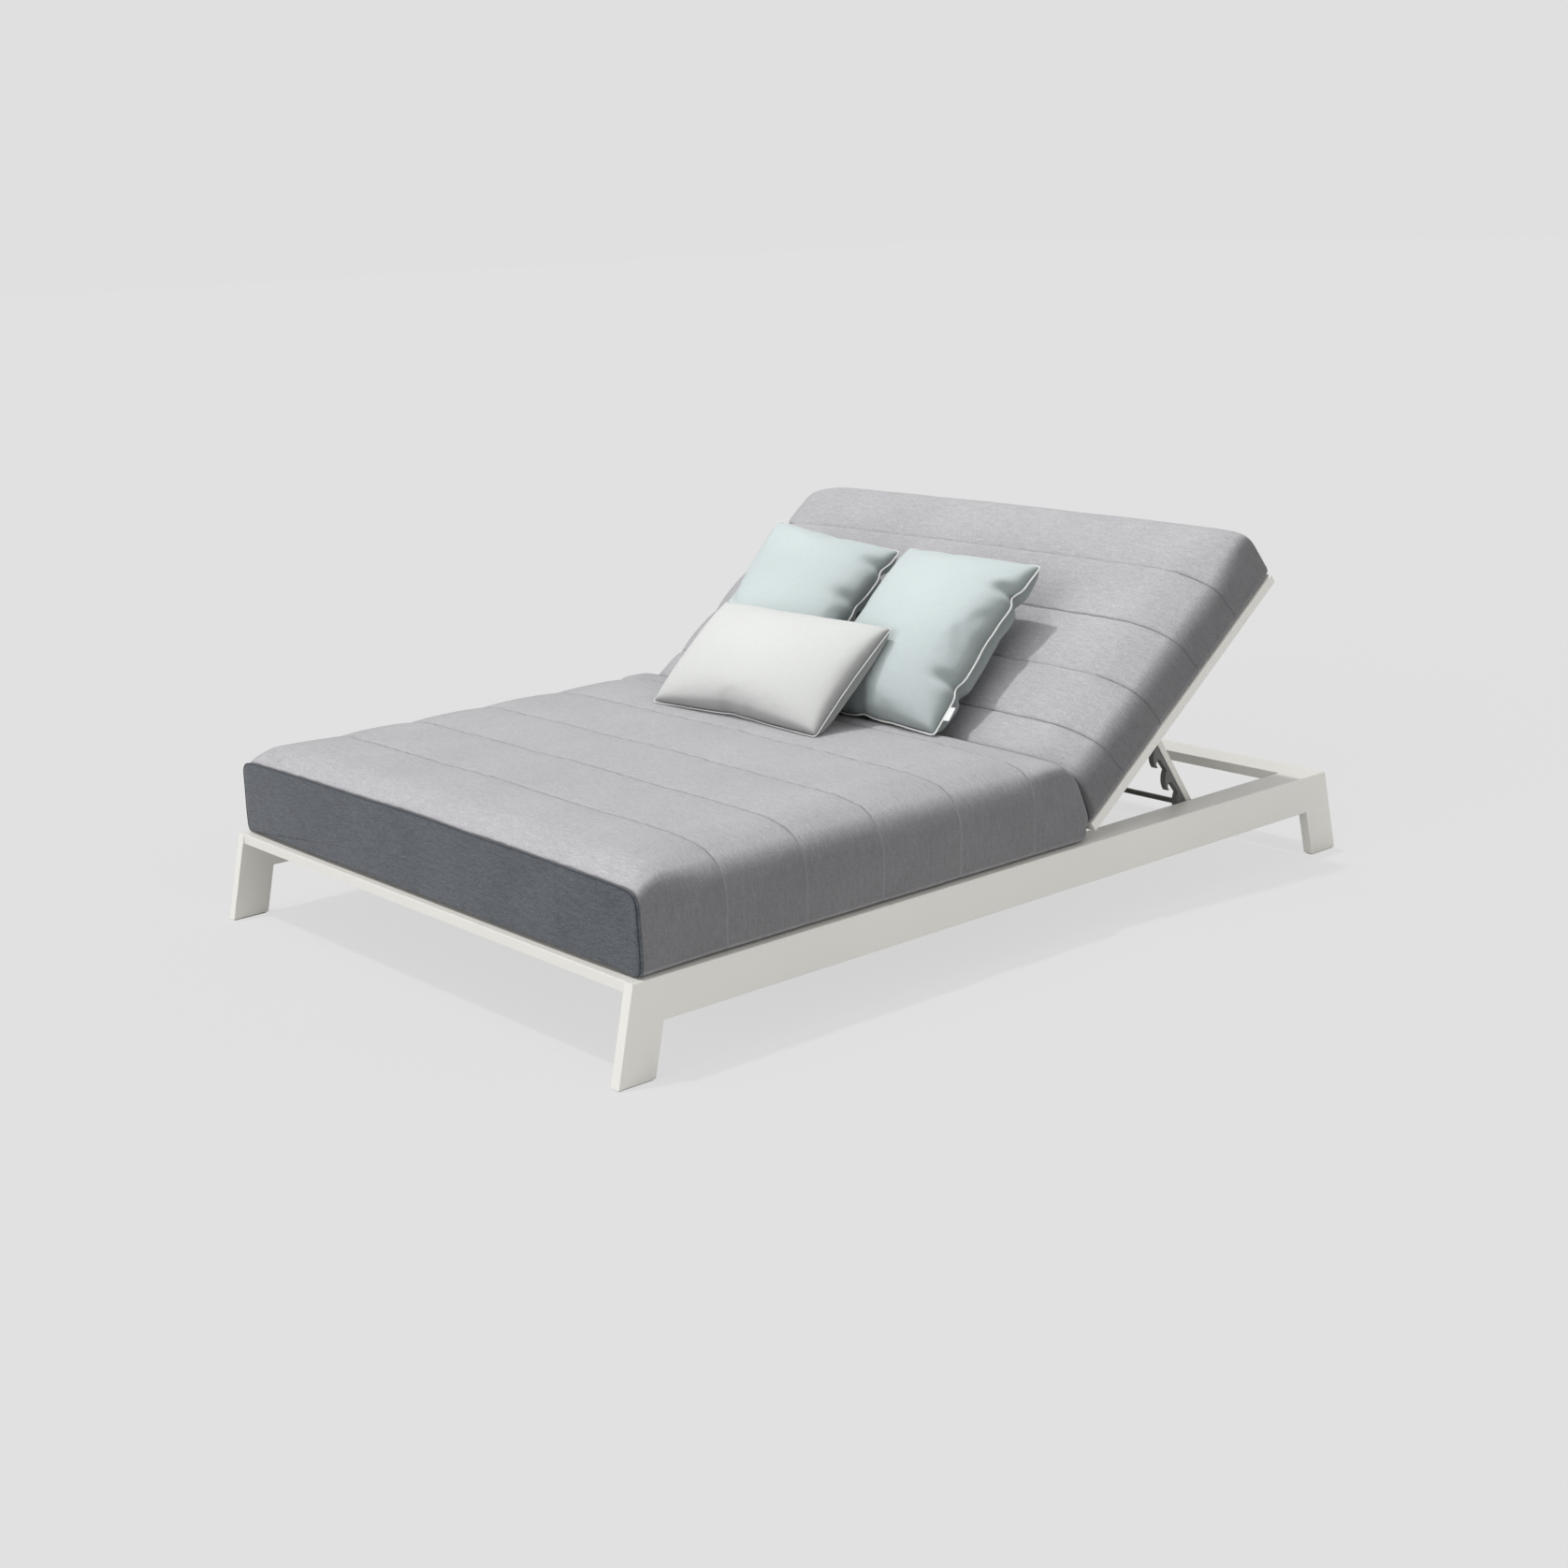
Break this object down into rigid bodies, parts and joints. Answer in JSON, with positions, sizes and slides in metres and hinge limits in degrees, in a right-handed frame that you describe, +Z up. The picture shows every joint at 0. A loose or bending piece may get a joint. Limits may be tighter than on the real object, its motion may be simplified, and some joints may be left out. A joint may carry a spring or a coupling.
{
  "type": "double chaise lounger",
  "caption": "Double chaise lounger: a low frame on splayed legs, a channelled mattress whose backrest folds flat from a pair of notched stays, and loose pillows.",
  "frame": {"origin": "on the floor under the middle of the lounger", "axes": "+X towards the head end, +Y to the left as seen from the foot end, +Z up"},
  "size_m": [2.0866, 1.4524, 0.7765],
  "materials": {
    "frame_paint": "satin",
    "slat_paint": "satin",
    "rack_polymer": "matte",
    "dark_paint": "satin",
    "pin_steel": "satin",
    "bush_plastic": "matte",
    "glide_plastic": "matte",
    "bumper_rubber": "matte",
    "cover_fabric": "matte",
    "panel_fabric": "matte",
    "mint_fabric": "matte",
    "white_fabric": "matte",
    "tag_fabric": "matte"
  },
  "bodies": {
    "base": {"left_side_rail": "frame_paint", "right_side_rail": "frame_paint", "front_left_leg": "frame_paint", "front_right_leg": "frame_paint", "rear_left_leg": "frame_paint", "rear_right_leg": "frame_paint", "foot_glides": "glide_plastic", "front_rail": "frame_paint", "rear_rail": "frame_paint", "left_ledge": "frame_paint", "right_ledge": "frame_paint", "centre_bearer": "frame_paint", "front_cross_beam": "frame_paint", "hinge_beam": "frame_paint", "seat_slats": "slat_paint", "hinge_brackets": "frame_paint", "hinge_pins": "pin_steel", "catch_pins": "pin_steel", "seat_cushion": "cover_fabric", "seat_front_panel": "panel_fabric"},
    "backrest": {"backrest_left_stile": "frame_paint", "backrest_right_stile": "frame_paint", "backrest_bottom_rail": "frame_paint", "backrest_top_rail": "frame_paint", "backrest_cross_rail": "frame_paint", "backrest_mid_stile": "frame_paint", "backrest_slats": "slat_paint", "backrest_bumpers": "bumper_rubber", "hinge_lugs": "frame_paint", "hinge_bushes": "bush_plastic", "left_stay_clevis": "frame_paint", "right_stay_clevis": "frame_paint", "stay_pins": "pin_steel", "back_cushion": "cover_fabric"},
    "stay": {"left_stay_spine": "frame_paint", "right_stay_spine": "frame_paint", "left_stay_rack": "rack_polymer", "right_stay_rack": "rack_polymer", "stay_tie_bar": "dark_paint", "stay_bushes": "bush_plastic"},
    "left_pillow": {"left_pillow": "mint_fabric"},
    "right_pillow": {"right_pillow": "mint_fabric", "pillow_tag": "tag_fabric"},
    "lumbar_pillow": {"lumbar_pillow": "white_fabric"}
  },
  "joints": [
    {"name": "backrest_recline", "type": "hinge", "parent": "base", "child": "backrest", "pos_m": [0.213, 0, 0.1764], "axis": [0, -1, 0], "range_deg": [-37.2, 0]},
    {"name": "stay_swing", "type": "hinge", "parent": "backrest", "child": "stay", "pos_m": [0.48174, 0, 0.37775], "axis": [0, -1, 0], "range_deg": [0, 93.2]},
    {"name": "left_pillow_lean", "type": "hinge", "parent": "base", "child": "left_pillow", "pos_m": [0.138, 0, 0.393], "axis": [0, -1, 0], "range_deg": [-36.2, 0]},
    {"name": "right_pillow_lean", "type": "hinge", "parent": "base", "child": "right_pillow", "pos_m": [0.138, 0, 0.393], "axis": [0, -1, 0], "range_deg": [-36.2, 0]},
    {"name": "lumbar_pillow_lean", "type": "hinge", "parent": "base", "child": "lumbar_pillow", "pos_m": [0, 0, 0.3965], "axis": [0, -1, 0], "range_deg": [-6.4, 0]}
  ],
  "couplings": [
    {"joint": "stay_swing", "follows": "backrest_recline", "ratio": -2.5051},
    {"joint": "left_pillow_lean", "follows": "backrest_recline", "ratio": 0.97},
    {"joint": "right_pillow_lean", "follows": "backrest_recline", "ratio": 0.97},
    {"joint": "lumbar_pillow_lean", "follows": "backrest_recline", "ratio": 0.17}
  ]
}
